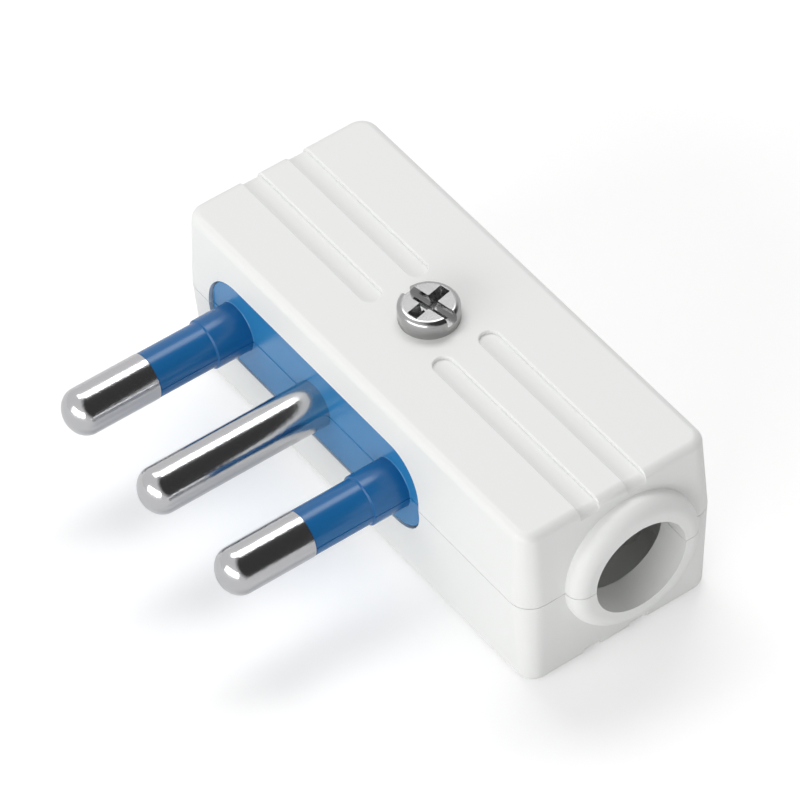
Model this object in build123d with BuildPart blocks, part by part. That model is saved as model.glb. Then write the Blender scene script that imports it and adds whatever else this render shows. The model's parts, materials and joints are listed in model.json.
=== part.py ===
"""Rewirable right-angle three-pin mains plug, all sizes in millimetres.

The origin is where the earth pin's axis meets the front face of the housing, on the plane
where the two shells part. +X runs to the cord end, the pins point to -Y and +Z is up.
"""

from build123d import *
from math import hypot
import os

# Housing
body_length = 56.4
body_depth = 22.9
upper_height = 9.5
lower_height = 11.4
draft = 3  # degrees, every outer side leans in from the parting plane
far_end = 22.0  # from the earth pin's axis to the end without the cord
corner_radius = 2.4
edge_radius = 1.0
wall = 2.0
roof = 2.0  # thickness of the top and bottom faces
lip_thickness = 0.8
lip_height = 1.0
rib = 1.2

# Places across the depth, from the middle of it, towards the back where above zero
entry_offset = 0.95
screw_offset = -0.6
groove_offset = -0.5

# Finger grooves in the top and bottom faces
groove_width = 2.2
groove_depth = 0.4
groove_spacing = 5.5
groove_mid_x = 5.0  # midway between the two pairs, where the closing screw is
groove_gap = 9.8  # between the inner ends of the two pairs
groove_edge_radius = 0.15

# Cord entry with its rounded collar
entry_radius = 5.3
collar_radius = 7.65
collar_height = 1.8
collar_round = 1.6  # outer edge
collar_rim_round = 0.25  # inner edge

# Pins
pin_diameter = 5.0
pin_pitch = 13.0
pin_length = 20.0
tip_length = 2.1
neck_diameter = 3.9  # inside a sleeve
shank_diameter = 4.6  # earth pin, inside the carrier
pin_collar_diameter = 6.2
pin_collar_thickness = 0.8
spigot_diameter = 3.4
spigot_length = 1.4

# Insulating carrier with its sleeves
sleeve_length = 10.5
sleeve_diameter = 4.9
sleeve_root_diameter = 5.35
sleeve_root_length = 3.7
plate_end_margin = 4.4  # from an outer pin's axis to the plate's end
plate_height = 10.2
plate_corner_radius = 4.6
plate_recess = 0.4
flange_thickness = 1.3
flange_side = 1.2

# Terminals on the pins' inner ends
block_width = 6.6
block_length = 5.4
block_top = 3.4
block_bottom = 3.6
block_chamfer = 0.5
chamber_width = 3.8
chamber_height = 4.0
chamber_floor = 2.2  # below the pin's axis
chamber_length = 3.4
chamber_corner = 0.6
terminal_screw_diameter = 2.5
terminal_head_diameter = 4.2
terminal_head_height = 1.7
terminal_slot_width = 0.7
terminal_slot_depth = 0.8
wire_plate_thickness = 0.7
wire_plate_lift = 0.9  # gap left under the plate for a wire
wire_plate_groove = 0.3
pedestal_width = 4.0
pedestal_length = 4.4

# Closing screw and nut
screw_diameter = 3.0
screw_length = 18.0
screw_head_diameter = 6.2
screw_head_height = 2.0
screw_head_round = 0.6
screw_slot_width = 1.3
screw_slot_depth = 1.0
cross_width = 1.2
cross_span = 4.8
cross_depth = 1.6
cross_taper = 14
recess_turn = 12
nut_flats = 5.5
nut_thickness = 2.4
nut_cover = 3.0  # how deep the nut lies in the bottom face
boss_radius = 2.4
nut_boss_radius = 4.3
nut_seat = 1.2  # boss material above the nut's pocket

# Cord grip
grip_x = 24.0
grip_width = 5.0
grip_thickness = 1.4
grip_wing_thickness = 2.6
grip_tooth = 0.5
grip_tooth_height = 0.3
grip_screw_diameter = 2.9
grip_screw_length = 9.0
grip_head_diameter = 4.0
grip_head_height = 1.8
saddle_thickness = 2.4
grip_post_diameter = 5.0
grip_wall_gap = 0.25  # between the bar and the housing's walls

# Clearances
fit_gap = 0.1  # between mouldings
pin_gap = 0.05  # radial, metal in its hole
screw_gap = 0.2  # radial, screw in a plain hole

body_mid_x = body_length / 2 - far_end
body_mid_y = body_depth / 2
entry_line = body_mid_y + entry_offset
screw_line = body_mid_y + screw_offset
groove_line = body_mid_y + groove_offset
cord_end = body_length - far_end
cavity_length = body_length - 2 * wall
cavity_depth = body_depth - 2 * wall
cavity_corner = max(corner_radius - wall, 0.5)
plate_length = 2 * (pin_pitch + plate_end_margin)
flange_front = wall + pin_gap
flange_back = flange_front + flange_thickness
block_front = flange_back + pin_collar_thickness
block_back = block_front + block_length
block_mid_y = (block_front + block_back) / 2
terminal_screw_y = block_back - chamber_length / 2
wire_plate_base = wire_plate_lift - chamber_floor
wire_plate_top = wire_plate_base + wire_plate_thickness
nut_top = -lower_height + nut_cover + nut_thickness
grip_half_span = body_depth - wall - grip_wall_gap - entry_line
grip_screw_offset = grip_half_span - grip_head_diameter / 2 - fit_gap

# The grip's arch stays clear of its screws' heads and of the cover's roof
grip_arch_reach = grip_screw_offset - grip_head_diameter / 2 - screw_gap
grip_arch_radius = min(hypot(grip_arch_reach, grip_wing_thickness), upper_height - roof - screw_gap)
grip_radius = grip_arch_radius - grip_thickness
floor_plane = Plane.XY.offset(roof - lower_height)
entry_axis = Axis((0, entry_line, 0), (1, 0, 0))
below_parting = Location((entry_line, -body_depth))
pin_places = {"neutral": -pin_pitch, "earth": 0.0, "line": pin_pitch}


def is_groove_rim(edge):
    """True for an edge on a long side or an inner end of one of the grooves."""
    rows = (groove_line - groove_spacing / 2, groove_line + groove_spacing / 2)
    reach = 0.51 * groove_width
    return any(abs(edge.center().Y - row) < reach for row in rows)


def outer_form(height, side):
    """A block that leans in from the parting plane, with its far edges rounded."""
    with BuildPart() as form:
        with BuildSketch(Plane.XY):
            with Locations((body_mid_x, body_mid_y)):
                RectangleRounded(body_length, body_depth, corner_radius)
        extrude(amount=side * height, taper=draft)
        fillet(form.edges().group_by(Axis.Z)[-1 if side > 0 else 0], edge_radius)
    return form.part


def housing_half(height, side):
    """One shell's outer form with its grooves, half of the collar, cavity and carrier window."""
    with BuildPart() as half:
        add(outer_form(height, side))

        # Each groove is a shallow slot that runs out through the nearer end
        with BuildSketch(Plane.XY.offset(side * height)) as slots:
            for end in (-1, 1):
                for row in (-1, 1):
                    groove_x = groove_mid_x + end * (groove_gap + body_length) / 2
                    with Locations((groove_x, groove_line + row * groove_spacing / 2)):
                        SlotOverall(body_length, groove_width)
        extrude(amount=-side * groove_depth, mode=Mode.SUBTRACT)
        rims = half.edges().group_by(Axis.Z)[-1 if side > 0 else 0].filter_by(is_groove_rim)
        fillet(rims, groove_edge_radius)

        # Its floor is rounded at that end like the housing's edge
        with BuildPart(mode=Mode.SUBTRACT):
            extrude(slots.sketch, amount=-side * (groove_depth + edge_radius))
            add(outer_form(height - groove_depth, side), mode=Mode.SUBTRACT)

        # The collar stands around the entry, well rounded outside, with a crisp inner rim
        with BuildSketch(Plane.XY) as collar:
            with Locations((cord_end + (collar_height - wall) / 2, entry_line + (entry_radius + collar_radius) / 2)):
                Rectangle(wall + collar_height, collar_radius - entry_radius)
            inner_corner, outer_corner = collar.vertices().group_by(Axis.X)[-1].sort_by(Axis.Y)
            fillet(outer_corner, collar_round)
            fillet(inner_corner, collar_rim_round)
        revolve(axis=entry_axis, revolution_arc=180 * side)

        with BuildSketch(Plane.XY):
            with Locations((body_mid_x, body_mid_y)):
                RectangleRounded(cavity_length, cavity_depth, cavity_corner)
        extrude(amount=side * (height - roof), mode=Mode.SUBTRACT)
        with BuildSketch(Plane.YZ.offset(cord_end - 2 * wall)):
            with Locations((entry_line, 0)):
                Circle(entry_radius)
        extrude(amount=2 * wall + 2 * collar_height, mode=Mode.SUBTRACT)
        with BuildSketch(Plane.XZ):
            RectangleRounded(plate_length + 2 * fit_gap, plate_height + 2 * fit_gap, plate_corner_radius)
        extrude(amount=-wall, mode=Mode.SUBTRACT)
    return half.part


upper_form = housing_half(upper_height, 1)
lower_form = housing_half(lower_height, -1)

# Cover, with the boss that the closing screw passes through
with BuildPart() as upper_shell:
    add(upper_form)
    with BuildSketch(Plane.XY):
        with Locations((groove_mid_x, screw_line)):
            Circle(boss_radius)
    extrude(amount=upper_height - roof)
    with BuildSketch(Plane.XY):
        with Locations((body_mid_x, body_mid_y)):
            rebate = 2 * (lip_thickness + fit_gap)
            RectangleRounded(cavity_length + rebate, cavity_depth + rebate, cavity_corner + rebate / 2)
            RectangleRounded(cavity_length, cavity_depth, cavity_corner, mode=Mode.SUBTRACT)
    extrude(amount=lip_height + fit_gap, mode=Mode.SUBTRACT)
    with BuildSketch(Plane.XY):
        with Locations((groove_mid_x, screw_line)):
            Circle(screw_diameter / 2 + screw_gap)
    extrude(amount=upper_height, mode=Mode.SUBTRACT)

# Base, which carries the terminals, the cord grip and the closing nut
with BuildPart() as lower_shell:
    add(lower_form)

    # The lip enters the cover's rebate and stops at the window and at the cord entry
    with BuildSketch(Plane.XY):
        with Locations((body_mid_x, body_mid_y)):
            lip = 2 * lip_thickness
            RectangleRounded(cavity_length + lip, cavity_depth + lip, cavity_corner + lip_thickness)
            RectangleRounded(cavity_length, cavity_depth, cavity_corner, mode=Mode.SUBTRACT)
        Rectangle(plate_length + 2 * fit_gap, 2 * wall, mode=Mode.SUBTRACT)
        with Locations((cord_end, entry_line)):
            Rectangle(2 * wall, 2 * entry_radius, mode=Mode.SUBTRACT)
    extrude(amount=lip_height)

    # Pedestals under the terminals, and barriers between them that also stop the carrier's flange
    with BuildSketch(floor_plane):
        for place in pin_places.values():
            with Locations((place, block_mid_y)):
                Rectangle(pedestal_width, pedestal_length)
    extrude(amount=lower_height - roof - block_bottom)
    barrier_front = flange_back + fit_gap
    barrier_back = min(block_back, screw_line - boss_radius - fit_gap)
    with BuildSketch(floor_plane):
        for side in (-1, 1):
            with Locations((side * pin_pitch / 2, (barrier_front + barrier_back) / 2)):
                Rectangle(rib, barrier_back - barrier_front)
    extrude(amount=lower_height - roof + block_top)

    # Saddle under the cord, between the two posts that take the grip's screws
    with BuildSketch(floor_plane):
        with Locations((grip_x, body_mid_y)):
            Rectangle(saddle_thickness, cavity_depth)
        for side in (-1, 1):
            with Locations((grip_x, entry_line + side * grip_screw_offset)):
                Circle(grip_post_diameter / 2)
    extrude(amount=lower_height - roof)
    with BuildSketch(Plane.YZ.offset(grip_x - grip_width / 2)):
        with Locations((entry_line, 0)):
            Circle(grip_radius)
    extrude(amount=grip_width, mode=Mode.SUBTRACT)
    with BuildSketch(Plane.XY):
        for side in (-1, 1):
            with Locations((grip_x, entry_line + side * grip_screw_offset)):
                Circle(grip_screw_diameter / 2 + pin_gap)
    extrude(amount=grip_wing_thickness - grip_screw_length - screw_gap, mode=Mode.SUBTRACT)

    # Boss of the closing screw, wider at its foot around the nut's pocket
    with BuildSketch(floor_plane):
        with Locations((groove_mid_x, screw_line)):
            Circle(boss_radius)
    extrude(amount=lower_height - roof)
    with BuildSketch(floor_plane):
        with Locations((groove_mid_x, screw_line)):
            Circle(nut_boss_radius)
    extrude(amount=nut_top + nut_seat + lower_height - roof)
    with BuildSketch(Plane.XY):
        with Locations((groove_mid_x, screw_line)):
            Circle(screw_diameter / 2 + screw_gap)
    extrude(amount=-lower_height, mode=Mode.SUBTRACT)
    with BuildSketch(Plane.XY.offset(-lower_height)):
        with Locations((groove_mid_x, screw_line)):
            RegularPolygon(nut_flats / 2 + fit_gap, 6, major_radius=False)
    extrude(amount=nut_cover + nut_thickness, mode=Mode.SUBTRACT)

# Carrier: plate in the housing's window, flange behind the wall, and two sleeves in front
with BuildPart() as pin_carrier:
    with BuildSketch(Plane.XZ.offset(-plate_recess)):
        RectangleRounded(plate_length, plate_height, plate_corner_radius)
    extrude(amount=plate_recess - flange_back)
    with BuildSketch(Plane.XZ.offset(-flange_front)):
        flange_length = plate_length + 2 * flange_side
        flange_room = 2 * (min(upper_height, lower_height) - roof - fit_gap)
        flange_height = min(plate_height + 2 * flange_side, flange_room)
        RectangleRounded(flange_length, flange_height, plate_corner_radius)
    extrude(amount=-flange_thickness)
    for side in (-1, 1):
        with BuildSketch(Plane.XZ.offset(-plate_recess)):
            with Locations((side * pin_pitch, 0)):
                Circle(sleeve_root_diameter / 2)
        extrude(amount=sleeve_root_length + plate_recess)
        with BuildSketch(Plane.XZ.offset(-plate_recess)):
            with Locations((side * pin_pitch, 0)):
                Circle(sleeve_diameter / 2)
        extrude(amount=sleeve_length + plate_recess)
        with BuildSketch(Plane.XZ.offset(-flange_back)):
            with Locations((side * pin_pitch, 0)):
                Circle(neck_diameter / 2 + pin_gap)
        extrude(amount=flange_back + sleeve_length, mode=Mode.SUBTRACT)
    with BuildSketch(Plane.XZ.offset(-flange_back)):
        Circle(shank_diameter / 2 + pin_gap)
    extrude(amount=flange_back, mode=Mode.SUBTRACT)

# Closing screw: pan head with a slot across a tapered cross
with BuildPart() as closing_screw:
    with BuildSketch(Plane.XY.offset(upper_height)):
        with Locations((groove_mid_x, screw_line)):
            Circle(screw_head_diameter / 2)
    extrude(amount=screw_head_height)
    fillet(closing_screw.edges().group_by(Axis.Z)[-1], screw_head_round)
    with BuildSketch(Plane.XY.offset(upper_height)):
        with Locations((groove_mid_x, screw_line)):
            Circle(screw_diameter / 2)
    extrude(amount=-screw_length)
    chamfer(closing_screw.edges().group_by(Axis.Z)[0], screw_diameter / 8)
    head_plane = Plane.XY.offset(upper_height + screw_head_height)
    with BuildSketch(head_plane):
        with Locations(Location((groove_mid_x, screw_line), recess_turn)):
            Rectangle(1.1 * screw_head_diameter, screw_slot_width)
    extrude(amount=-screw_slot_depth, mode=Mode.SUBTRACT)
    with BuildSketch(head_plane):
        with Locations(Location((groove_mid_x, screw_line), recess_turn)):
            Rectangle(cross_span, cross_width)
            Rectangle(cross_width, cross_span)
    extrude(amount=-cross_depth, taper=cross_taper, mode=Mode.SUBTRACT)

# Closing nut, in its pocket in the bottom face
with BuildPart() as closing_nut:
    with BuildSketch(Plane.XY.offset(nut_top - nut_thickness)):
        with Locations((groove_mid_x, screw_line)):
            RegularPolygon(nut_flats / 2, 6, major_radius=False)
            Circle(screw_diameter / 2 + pin_gap, mode=Mode.SUBTRACT)
    extrude(amount=nut_thickness)

# Cord grip bar: a strap arched over the cord, toothed inside, with a wing at each side
with BuildPart() as cord_grip_bar:
    with BuildSketch(Plane.YZ.offset(grip_x - grip_width / 2)):
        with Locations((entry_line, 0)):
            Circle(grip_arch_radius)
        with Locations((entry_line, grip_wing_thickness / 2)):
            Rectangle(2 * grip_half_span, grip_wing_thickness)
        with Locations((entry_line, 0)):
            Circle(grip_radius, mode=Mode.SUBTRACT)
        with Locations(below_parting):
            Rectangle(2 * body_depth, 2 * body_depth, mode=Mode.SUBTRACT)
    extrude(amount=grip_width)
    for side in (-1, 1):
        with BuildSketch(Plane.YZ.offset(grip_x + side * grip_width / 4 - grip_tooth / 2)):
            with Locations((entry_line, 0)):
                Circle(grip_radius + grip_thickness / 2)
                Circle(grip_radius - grip_tooth_height, mode=Mode.SUBTRACT)
            with Locations(below_parting):
                Rectangle(2 * body_depth, 2 * body_depth, mode=Mode.SUBTRACT)
        extrude(amount=grip_tooth)
    with BuildSketch(Plane.XY):
        for side in (-1, 1):
            with Locations((grip_x, entry_line + side * grip_screw_offset)):
                Circle(grip_screw_diameter / 2 + screw_gap)
    extrude(amount=grip_wing_thickness, mode=Mode.SUBTRACT)


def pin(x, sleeved):
    """A turned pin: domed tip, contact length, thinner neck, shoulder and spigot."""
    radius = pin_diameter / 2
    neck = neck_diameter / 2 if sleeved else shank_diameter / 2
    contact_end = -sleeve_length if sleeved else plate_recess
    with BuildPart() as turned:
        with BuildSketch(Plane.XY):
            with BuildLine():
                tip = EllipticalCenterArc(
                    (x, tip_length - pin_length), radius, tip_length, start_angle=270, arc_size=90
                )
                Polyline(
                    tip @ 1,
                    (x + radius, contact_end),
                    (x + neck, contact_end),
                    (x + neck, flange_back),
                    (x + pin_collar_diameter / 2, flange_back),
                    (x + pin_collar_diameter / 2, block_front),
                    (x + spigot_diameter / 2, block_front),
                    (x + spigot_diameter / 2, block_front + spigot_length),
                    (x, block_front + spigot_length),
                    tip @ 0,
                )
            make_face()
        revolve(axis=Axis((x, 0, 0), (0, 1, 0)))
    return turned.part


def terminal(x):
    """A brass block on the pin's spigot, with a wire chamber open at the back."""
    with BuildPart() as block:
        with BuildSketch(Plane.XY.offset(-block_bottom)):
            with Locations((x, block_mid_y)):
                Rectangle(block_width, block_length)
        extrude(amount=block_bottom + block_top)
        chamfer(block.edges().filter_by(Axis.Z), block_chamfer)
        with BuildSketch(Plane.XZ.offset(-block_back)):
            with Locations((x, chamber_height / 2 - chamber_floor)):
                RectangleRounded(chamber_width, chamber_height, chamber_corner)
        extrude(amount=chamber_length, mode=Mode.SUBTRACT)
        with BuildSketch(Plane.XZ.offset(-block_front)):
            with Locations((x, 0)):
                Circle(spigot_diameter / 2 + pin_gap)
        extrude(amount=-spigot_length - pin_gap, mode=Mode.SUBTRACT)
        with BuildSketch(Plane.XY):
            with Locations((x, terminal_screw_y)):
                Circle(terminal_screw_diameter / 2 + pin_gap)
        extrude(amount=block_top, mode=Mode.SUBTRACT)
    return block.part


def wire_plate(x):
    """The plate that the terminal's screw presses on the wire, grooved across its underside."""
    with BuildPart() as plate:
        with BuildSketch(Plane.XY.offset(wire_plate_base)):
            with Locations((x, terminal_screw_y)):
                RectangleRounded(chamber_width - 4 * fit_gap, chamber_length - 4 * fit_gap, chamber_corner)
        extrude(amount=wire_plate_thickness)
        with BuildSketch(Plane.XY.offset(wire_plate_base)):
            with Locations((x, terminal_screw_y)):
                with GridLocations(chamber_length, chamber_length / 3, 1, 2):
                    Rectangle(chamber_width, wire_plate_groove)
        extrude(amount=wire_plate_groove / 2, mode=Mode.SUBTRACT)
    return plate.part


def slotted_screw(x, y, seat, diameter, length, head_diameter, head_height):
    """A slotted screw along Z, with its head on the height seat."""
    with BuildPart() as screw:
        with BuildSketch(Plane.XY.offset(seat)):
            with Locations((x, y)):
                Circle(head_diameter / 2)
        extrude(amount=head_height)
        fillet(screw.edges().group_by(Axis.Z)[-1], head_height / 3)
        with BuildSketch(Plane.XY.offset(seat)):
            with Locations((x, y)):
                Circle(diameter / 2)
        extrude(amount=-length)
        chamfer(screw.edges().group_by(Axis.Z)[0], diameter / 8)
        with BuildSketch(Plane.XY.offset(seat + head_height)):
            with Locations((x, y)):
                Rectangle(1.1 * head_diameter, terminal_slot_width)
        extrude(amount=-terminal_slot_depth, mode=Mode.SUBTRACT)
    return screw.part


pieces = {
    "upper_shell": upper_shell.part,
    "lower_shell": lower_shell.part,
    "pin_carrier": pin_carrier.part,
    "closing_screw": closing_screw.part,
    "closing_nut": closing_nut.part,
    "cord_grip_bar": cord_grip_bar.part,
}

for name, place in pin_places.items():
    pieces[f"{name}_pin"] = pin(place, sleeved=name != "earth")
    pieces[f"{name}_terminal"] = terminal(place)
    pieces[f"{name}_wire_plate"] = wire_plate(place)
    pieces[f"{name}_terminal_screw"] = slotted_screw(
        place,
        terminal_screw_y,
        block_top,
        terminal_screw_diameter,
        block_top - wire_plate_top,
        terminal_head_diameter,
        terminal_head_height,
    )

for name, side in (("front", -1), ("rear", 1)):
    pieces[f"cord_grip_screw_{name}"] = slotted_screw(
        grip_x,
        entry_line + side * grip_screw_offset,
        grip_wing_thickness,
        grip_screw_diameter,
        grip_screw_length,
        grip_head_diameter,
        grip_head_height,
    )

os.makedirs("parts", exist_ok=True)
for name, piece in pieces.items():
    piece.label = name
    export_step(piece, f"parts/{name}.step")
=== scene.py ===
"""A white rewirable right-angle mains plug, lying on its base on a pale floor."""

import json
import math

import bmesh
import bpy
from mathutils import Matrix, Vector


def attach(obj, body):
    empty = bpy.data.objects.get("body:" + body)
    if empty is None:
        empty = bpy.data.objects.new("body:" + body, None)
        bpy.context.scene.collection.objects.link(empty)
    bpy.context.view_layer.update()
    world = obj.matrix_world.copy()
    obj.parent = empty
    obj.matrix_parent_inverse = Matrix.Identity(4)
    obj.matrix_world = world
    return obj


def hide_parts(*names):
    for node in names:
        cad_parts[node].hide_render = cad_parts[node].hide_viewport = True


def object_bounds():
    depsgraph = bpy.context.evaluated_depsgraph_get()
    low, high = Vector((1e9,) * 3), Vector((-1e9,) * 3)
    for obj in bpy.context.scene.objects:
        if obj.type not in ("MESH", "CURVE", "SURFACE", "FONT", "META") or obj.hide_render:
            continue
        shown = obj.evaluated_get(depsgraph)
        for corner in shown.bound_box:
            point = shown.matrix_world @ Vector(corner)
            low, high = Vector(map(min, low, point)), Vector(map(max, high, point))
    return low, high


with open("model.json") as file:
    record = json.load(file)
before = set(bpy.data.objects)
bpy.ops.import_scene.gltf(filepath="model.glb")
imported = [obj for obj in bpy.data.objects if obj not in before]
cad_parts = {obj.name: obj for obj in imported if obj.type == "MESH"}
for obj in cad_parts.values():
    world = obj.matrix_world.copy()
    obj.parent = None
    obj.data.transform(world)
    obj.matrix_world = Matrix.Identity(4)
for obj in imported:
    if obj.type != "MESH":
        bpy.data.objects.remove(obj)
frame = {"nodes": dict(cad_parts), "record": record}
cad_low, cad_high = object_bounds()

# Housing: the white cover and base, two shells moulded in urea resin in polished steel
# moulds. They close along the plane of the pins, and every arris is eased by the mould.
MM = 0.001
ARRIS = 0.2 * MM
MERGE_DISTANCE = 0.002 * MM
FLAT_WITHIN = math.radians(0.5)
SHARP_FROM = math.radians(35)
EASING_STEPS = 3
EASING_PROFILE = 0.35
FLAT_FACE_WEIGHT = 60


def linear(code):
    """An sRGB hex colour as linear red, green, blue and alpha."""
    parts = [int(code[i:i + 2], 16) / 255 for i in (0, 2, 4)]
    return [p / 12.92 if p <= 0.04045 else ((p + 0.055) / 1.055) ** 2.4 for p in parts] + [1.0]


def add_node(tree, kind, inputs=None, **settings):
    """A new node with its settings, and its inputs set to values or linked to sockets."""
    node = tree.nodes.new(kind)
    for name, value in settings.items():
        setattr(node, name, value)
    for name, value in (inputs or {}).items():
        if isinstance(value, bpy.types.NodeSocket):
            tree.links.new(value, node.inputs[name])
        else:
            node.inputs[name].default_value = value
    return node


def new_material(name):
    """An empty node material and its tree."""
    material = bpy.data.materials.new(name)
    material.use_nodes = True
    material.node_tree.nodes.clear()
    return material, material.node_tree


def made_plain(piece):
    """The piece with its modifiers turned into plain mesh."""
    bpy.context.view_layer.update()
    evaluated = piece.evaluated_get(bpy.context.evaluated_depsgraph_get())
    mesh = bpy.data.meshes.new_from_object(evaluated)
    piece.modifiers.clear()
    piece.data = mesh
    return piece


def eased_copy(cad_node, width, lift=0.0):
    """A copy of a CAD node with sharp edges eased, and its rim on the pins' plane lifted."""
    mesh = frame["nodes"][cad_node].data.copy()
    form = bmesh.new()
    form.from_mesh(mesh)
    bmesh.ops.remove_doubles(form, verts=form.verts, dist=MERGE_DISTANCE)
    bmesh.ops.dissolve_limit(form, angle_limit=FLAT_WITHIN, verts=form.verts, edges=form.edges)
    for face in form.faces:
        face.smooth = True
    for vertex in form.verts:
        if abs(vertex.co.z) < MERGE_DISTANCE:
            vertex.co.z += lift
    form.to_mesh(mesh)
    form.free()
    mesh.materials.clear()
    piece = bpy.data.objects.new(cad_node + "_moulded", mesh)
    bpy.context.scene.collection.objects.link(piece)
    bevel = piece.modifiers.new("Eased", "BEVEL")
    bevel.width = width
    bevel.segments = EASING_STEPS
    bevel.limit_method = "ANGLE"
    bevel.angle_limit = SHARP_FROM
    bevel.use_clamp_overlap = True
    bevel.profile = EASING_PROFILE
    weighted = piece.modifiers.new("Flat faces kept flat", "WEIGHTED_NORMAL")
    weighted.weight = FLAT_FACE_WEIGHT
    return made_plain(piece)


# White urea resin, compression moulded: hard, opaque and satin bright, with the faint
# unevenness of a polished mould, drawn at 2.5 mm so that it shows
MOULD_WAVE = 2.5 * MM
urea_white, tree = new_material("urea_white")
place = add_node(tree, "ShaderNodeTexCoord").outputs["Object"]
waviness = add_node(tree, "ShaderNodeTexNoise", {"Vector": place, "Scale": 1 / MOULD_WAVE, "Detail": 3.0})
relief = add_node(tree, "ShaderNodeBump", {
    "Height": waviness.outputs["Fac"], "Strength": 0.12, "Distance": 0.02 * MM,
})
surface = add_node(tree, "ShaderNodeBsdfPrincipled", {
    "Base Color": linear("ECEDEB"), "Roughness": 0.46, "IOR": 1.55, "Normal": relief.outputs["Normal"],
})
add_node(tree, "ShaderNodeOutputMaterial", {"Surface": surface.outputs["BSDF"]})

# Between the closed shells a hair of shadow stays open all round, so each shell's rim is
# drawn back by half of it
SEAM = 0.07 * MM
for name, side in (("upper_shell", 1), ("lower_shell", -1)):
    shell = eased_copy(name, ARRIS, side * SEAM / 2)
    shell.data.materials.clear()
    shell.data.materials.append(urea_white)
    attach(shell, "root")
    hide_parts(name)

# Carrier: one blue thermoplastic moulding, injected around the pins, so that its sleeves
# grip the outer two. The sleeves are polished, and the plate, which lies a little inside
# the housing's face, has a finely etched skin. The plate is painted a paler blue than the
# sleeves: painted light falling on its face.
PLATE_FACE = 0.4 * MM
CARRIER_ARRIS = 0.1 * MM
ETCHED_GRAIN = 0.2 * MM
carrier_blue, tree = new_material("carrier_blue")
place = add_node(tree, "ShaderNodeTexCoord").outputs["Object"]
depth = add_node(tree, "ShaderNodeSeparateXYZ", {"Vector": place}).outputs["Y"]
# Painted light: where the plate's face lies, the moulding's blue gives way to a paler copy of it
plate_painted_light_mask = add_node(tree, "ShaderNodeMapRange", {
    "Value": depth, "From Min": PLATE_FACE - 0.1 * MM, "From Max": PLATE_FACE - 0.05 * MM,
})
blue_with_painted_plate_light = add_node(tree, "ShaderNodeMix", {
    "Factor": plate_painted_light_mask.outputs["Result"], 6: linear("10609A"), 7: linear("2F80B8"),
}, data_type="RGBA")
skin = add_node(tree, "ShaderNodeTexNoise", {"Vector": place, "Scale": 1 / ETCHED_GRAIN, "Detail": 2.0})
relief = add_node(tree, "ShaderNodeBump", {
    "Height": skin.outputs["Fac"], "Strength": 0.2, "Distance": 0.01 * MM,
})
surface = add_node(tree, "ShaderNodeBsdfPrincipled", {
    "Base Color": blue_with_painted_plate_light.outputs[2], "Roughness": 0.24, "IOR": 1.5, "Normal": relief.outputs["Normal"],
})
add_node(tree, "ShaderNodeOutputMaterial", {"Surface": surface.outputs["BSDF"]})
carrier = eased_copy("pin_carrier", CARRIER_ARRIS)
carrier.data.materials.clear()
carrier.data.materials.append(carrier_blue)
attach(carrier, "root")
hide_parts("pin_carrier")

# Parting lines of the carrier: where the halves of its mould met, a hair of flash stands
# along the sleeves' flanks and across the plate, all on the plane of the pins. The places
# are in millimetres. A sleeve is thicker at its root, and its line stops before its end.
LINE_WIDTH = 0.14 * MM
PIN_PITCH = 13.0
ROOT_RADIUS = 2.675
ROOT_END = -3.7
SLEEVE_RADIUS = 2.45
SLEEVE_LINE_END = -10.4
PLATE_LEVEL = PLATE_FACE / MM
PLATE_END = 17.3
PLATE_TO_ROOT = 2.7
PLATE_TO_EARTH_PIN = 2.4
line_tree = bpy.data.node_groups.new("parting_line", "GeometryNodeTree")
line_tree.interface.new_socket("Geometry", in_out="OUTPUT", socket_type="NodeSocketGeometry")
for label, kind in (("From", "Vector"), ("To", "Vector"), ("Radius", "Float"), ("Finish", "Material")):
    line_tree.interface.new_socket(label, in_out="INPUT", socket_type="NodeSocket" + kind)
given = add_node(line_tree, "NodeGroupInput").outputs
path = add_node(line_tree, "GeometryNodeCurvePrimitiveLine", {"Start": given["From"], "End": given["To"]})
section = add_node(line_tree, "GeometryNodeCurvePrimitiveCircle", {
    "Resolution": 10, "Radius": given["Radius"],
})
ridge = add_node(line_tree, "GeometryNodeCurveToMesh", {
    "Curve": path.outputs["Curve"], "Profile Curve": section.outputs["Curve"], "Fill Caps": True,
})
real = add_node(line_tree, "GeometryNodeRealizeInstances", {"Geometry": ridge.outputs["Mesh"]})
dressed = add_node(line_tree, "GeometryNodeSetMaterial", {
    "Geometry": real.outputs["Geometry"], "Material": given["Finish"],
})
add_node(line_tree, "NodeGroupOutput", {"Geometry": dressed.outputs["Geometry"]})
line_input = {
    item.name: item.identifier for item in line_tree.interface.items_tree if item.in_out == "INPUT"
}


def parting_line(name, start, end):
    """A hair of flash between two places, given in millimetres."""
    piece = bpy.data.objects.new(name, bpy.data.meshes.new(name))
    bpy.context.scene.collection.objects.link(piece)
    growth = piece.modifiers.new("Grown", "NODES")
    growth.node_group = line_tree
    growth[line_input["From"]] = Vector(start) * MM
    growth[line_input["To"]] = Vector(end) * MM
    growth[line_input["Radius"]] = LINE_WIDTH / 2
    growth[line_input["Finish"]] = carrier_blue
    made_plain(piece)
    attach(piece, "root")


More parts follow.
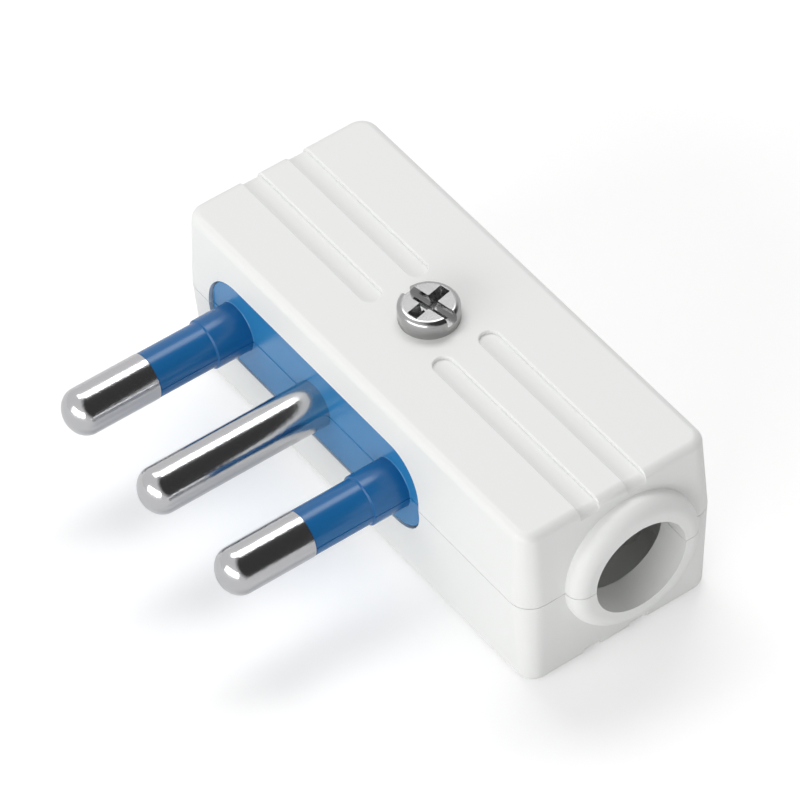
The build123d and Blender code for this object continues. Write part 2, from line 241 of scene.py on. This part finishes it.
for name, pin_x in (("neutral", -PIN_PITCH), ("line", PIN_PITCH)):
    root_x = pin_x + ROOT_RADIUS
    sleeve_x = pin_x + SLEEVE_RADIUS
    parting_line(name + "_root_line", (root_x, PLATE_LEVEL, 0), (root_x, ROOT_END, 0))
    parting_line(name + "_sleeve_line", (sleeve_x, ROOT_END, 0), (sleeve_x, SLEEVE_LINE_END, 0))
plate_spans = (
    (-PLATE_END, -PIN_PITCH - PLATE_TO_ROOT),
    (-PIN_PITCH + PLATE_TO_ROOT, -PLATE_TO_EARTH_PIN),
    (PLATE_TO_EARTH_PIN, PIN_PITCH - PLATE_TO_ROOT),
    (PIN_PITCH + PLATE_TO_ROOT, PLATE_END),
)
for number, (start_x, end_x) in enumerate(plate_spans):
    parting_line(f"plate_line_{number}", (start_x, PLATE_LEVEL, 0), (end_x, PLATE_LEVEL, 0))

# Pins: turned from brass bar, then barrelled and plated with bright nickel, through which
# the small dents of the barrelling still show
DENT = 0.25 * MM
pin_nickel, tree = new_material("pin_nickel")
place = add_node(tree, "ShaderNodeTexCoord").outputs["Object"]
drawn = add_node(tree, "ShaderNodeMapping", {"Vector": place, "Scale": (1.0, 0.5, 1.0)})
marks = add_node(tree, "ShaderNodeTexNoise", {
    "Vector": drawn.outputs["Vector"], "Scale": 1 / DENT, "Detail": 3.0, "Roughness": 0.6,
})
relief = add_node(tree, "ShaderNodeBump", {
    "Height": marks.outputs["Fac"], "Strength": 0.5, "Distance": 0.02 * MM,
})
surface = add_node(tree, "ShaderNodeBsdfPrincipled", {
    "Base Color": linear("C9C9CB"), "Metallic": 1.0, "Roughness": 0.16, "Normal": relief.outputs["Normal"],
})
add_node(tree, "ShaderNodeOutputMaterial", {"Surface": surface.outputs["BSDF"]})

# Closing screw: a pressed pan head with a slot across its cross, nickel plated steel. The
# cold pressing leaves its arrises a little round and its skin faintly grained.
SCREW_ARRIS = 0.1 * MM
PRESSED_GRAIN = 0.3 * MM
screw_nickel, tree = new_material("screw_nickel")
place = add_node(tree, "ShaderNodeTexCoord").outputs["Object"]
grain = add_node(tree, "ShaderNodeTexNoise", {"Vector": place, "Scale": 1 / PRESSED_GRAIN, "Detail": 3.0})
relief = add_node(tree, "ShaderNodeBump", {
    "Height": grain.outputs["Fac"], "Strength": 0.25, "Distance": 0.01 * MM,
})
surface = add_node(tree, "ShaderNodeBsdfPrincipled", {
    "Base Color": linear("B4B4B4"), "Metallic": 1.0, "Roughness": 0.2, "Normal": relief.outputs["Normal"],
})
add_node(tree, "ShaderNodeOutputMaterial", {"Surface": surface.outputs["BSDF"]})
screw = eased_copy("closing_screw", SCREW_ARRIS)
screw.data.materials.clear()
screw.data.materials.append(screw_nickel)
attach(screw, "root")
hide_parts("closing_screw")

# Terminals, with their screws and plates, and the cord's grip: bare brass, plated steel
# and grey nylon. All of them are inside the closed housing, and keep their CAD shapes.

# Bare brass, machined and not plated: a warm yellow with a soft shine
terminal_brass, tree = new_material("terminal_brass")
surface = add_node(tree, "ShaderNodeBsdfPrincipled", {
    "Base Color": linear("CDAA62"), "Metallic": 1.0, "Roughness": 0.32,
})
add_node(tree, "ShaderNodeOutputMaterial", {"Surface": surface.outputs["BSDF"]})

# Light grey nylon, injection moulded: a plain, nearly matt skin
grip_grey, tree = new_material("grip_grey")
surface = add_node(tree, "ShaderNodeBsdfPrincipled", {
    "Base Color": linear("C4C6C3"), "Roughness": 0.5, "IOR": 1.5,
})
add_node(tree, "ShaderNodeOutputMaterial", {"Surface": surface.outputs["BSDF"]})

finishes = {
    "plated_pin": pin_nickel,
    "plated_screw": screw_nickel,
    "terminal_brass": terminal_brass,
    "grip_plastic": grip_grey,
}
for subpart in frame["record"]["subparts"]:
    node = frame["nodes"][subpart["node"]]
    if subpart["material_slot"] in finishes and subpart["node"] != "closing_screw":
        node.data.materials.clear()
        node.data.materials.append(finishes[subpart["material_slot"]])

# Floor: a plain sheet of matt white paper, laid flat under the plug. The photograph's
# ground is brightened, so the camera sees the sheet a little paler than its light makes it.
WHITE = linear("FFFFFF")
FLOOR_HALF = 0.6
FLOOR_GLOW = 0.24
floor_level = cad_low[2]
floor_mesh = bpy.data.meshes.new("floor")
floor_mesh.from_pydata(
    [(x * FLOOR_HALF, y * FLOOR_HALF, floor_level) for x, y in ((-1, -1), (1, -1), (1, 1), (-1, 1))],
    [],
    [(0, 1, 2, 3)],
)
floor = bpy.data.objects.new("floor", floor_mesh)
bpy.context.scene.collection.objects.link(floor)
floor_paper, tree = new_material("floor_paper")
sight = add_node(tree, "ShaderNodeLightPath").outputs["Is Camera Ray"]
paper = add_node(tree, "ShaderNodeBsdfDiffuse", {"Color": linear("F4F4F4")})
glow = add_node(tree, "ShaderNodeEmission", {"Color": WHITE, "Strength": FLOOR_GLOW})
lit = add_node(tree, "ShaderNodeAddShader", {0: paper.outputs["BSDF"], 1: glow.outputs["Emission"]})
seen = add_node(tree, "ShaderNodeMixShader", {0: sight, 1: paper.outputs["BSDF"], 2: lit.outputs["Shader"]})
add_node(tree, "ShaderNodeOutputMaterial", {"Surface": seen.outputs["Shader"]})
floor_mesh.materials.append(floor_paper)

# Light: one soft lamp overhead and one low before the pins, an even pale surround, and in
# the metal's reflections the darker room beyond the table's far right corner
SURROUND_LIGHT = 0.46
ROOM_LIGHT = 0.8
ROOM_SHADE = 0.05
SHADE_FROM = 0.5
SHADE_FULL = 0.75
DARK_SIDE = Vector((0.596, 0.376, 0.710))
world = bpy.data.worlds.new("surround")
bpy.context.scene.world = world
world.use_nodes = True
world.node_tree.nodes.clear()
tree = world.node_tree
rays = add_node(tree, "ShaderNodeLightPath").outputs
facing = add_node(tree, "ShaderNodeTexCoord").outputs["Generated"]
nearness = add_node(tree, "ShaderNodeVectorMath", {0: facing, 1: DARK_SIDE}, operation="DOT_PRODUCT")
shade = add_node(tree, "ShaderNodeMapRange", {
    "Value": nearness.outputs["Value"],
    "From Min": SHADE_FROM, "From Max": SHADE_FULL, "To Min": ROOM_LIGHT, "To Max": ROOM_SHADE,
})
even = add_node(tree, "ShaderNodeBackground", {"Color": WHITE, "Strength": SURROUND_LIGHT})
room = add_node(tree, "ShaderNodeBackground", {"Color": WHITE, "Strength": shade.outputs["Result"]})
white = add_node(tree, "ShaderNodeBackground", {"Color": WHITE, "Strength": 1.0})
glossy = add_node(tree, "ShaderNodeMixShader", {
    0: rays["Is Glossy Ray"], 1: even.outputs[0], 2: room.outputs[0],
})
mixed = add_node(tree, "ShaderNodeMixShader", {
    0: rays["Is Camera Ray"], 1: glossy.outputs[0], 2: white.outputs[0],
})
add_node(tree, "ShaderNodeOutputWorld", {"Surface": mixed.outputs["Shader"]})

# Each lamp's place, width and height are in metres and its power is in watts, and each
# faces the plug
for name, spot, width, height, power in (
    ("overhead_softbox", (-0.24, 0.12, 0.52), 0.5, 0.22, 1.4),
    ("front_softbox", (0.15, -0.6, 0.2), 0.8, 0.3, 2.5),
):
    lamp_data = bpy.data.lights.new(name, "AREA")
    lamp_data.shape = "RECTANGLE"
    lamp_data.size = width
    lamp_data.size_y = height
    lamp_data.energy = power
    lamp = bpy.data.objects.new(name, lamp_data)
    bpy.context.scene.collection.objects.link(lamp)
    lamp.location = spot
    lamp.rotation_euler = (-Vector(spot)).to_track_quat("-Z", "Y").to_euler()

# Camera: where the photograph was taken from, over the pins' side and the cord end, with a
# long lens about 0.6 m away. Its place was worked out from the plug's points seen there.
VIEW_TURN = math.radians(56.449)
VIEW_RISE = math.radians(47.178)
VIEW_ROLL = math.radians(-3.335)
VIEW_REACH = 604.56 * MM
VIEW_TARGET = Vector((2.136, 8.827, -3.4)) * MM
LENS_LENGTH = 279.04
SENSOR_WIDTH = 36.0
CLIP_START = 0.01
scene = bpy.context.scene
camera_data = bpy.data.cameras.new("camera")
camera_data.lens = LENS_LENGTH
camera_data.sensor_width = SENSOR_WIDTH
camera_data.clip_start = CLIP_START
back = Vector((
    math.sin(VIEW_TURN) * math.cos(VIEW_RISE),
    -math.cos(VIEW_TURN) * math.cos(VIEW_RISE),
    math.sin(VIEW_RISE),
))
right = Vector((0, 0, 1)).cross(back).normalized()
up = back.cross(right)
turned_right = math.cos(VIEW_ROLL) * right + math.sin(VIEW_ROLL) * up
turned_up = math.cos(VIEW_ROLL) * up - math.sin(VIEW_ROLL) * right
camera = bpy.data.objects.new("camera", camera_data)
camera.matrix_world = Matrix.LocRotScale(
    VIEW_TARGET + VIEW_REACH * back,
    Matrix((turned_right, turned_up, back)).transposed().to_quaternion(),
    None,
)
scene.collection.objects.link(camera)
scene.camera = camera
scene.view_settings.view_transform = "Standard"
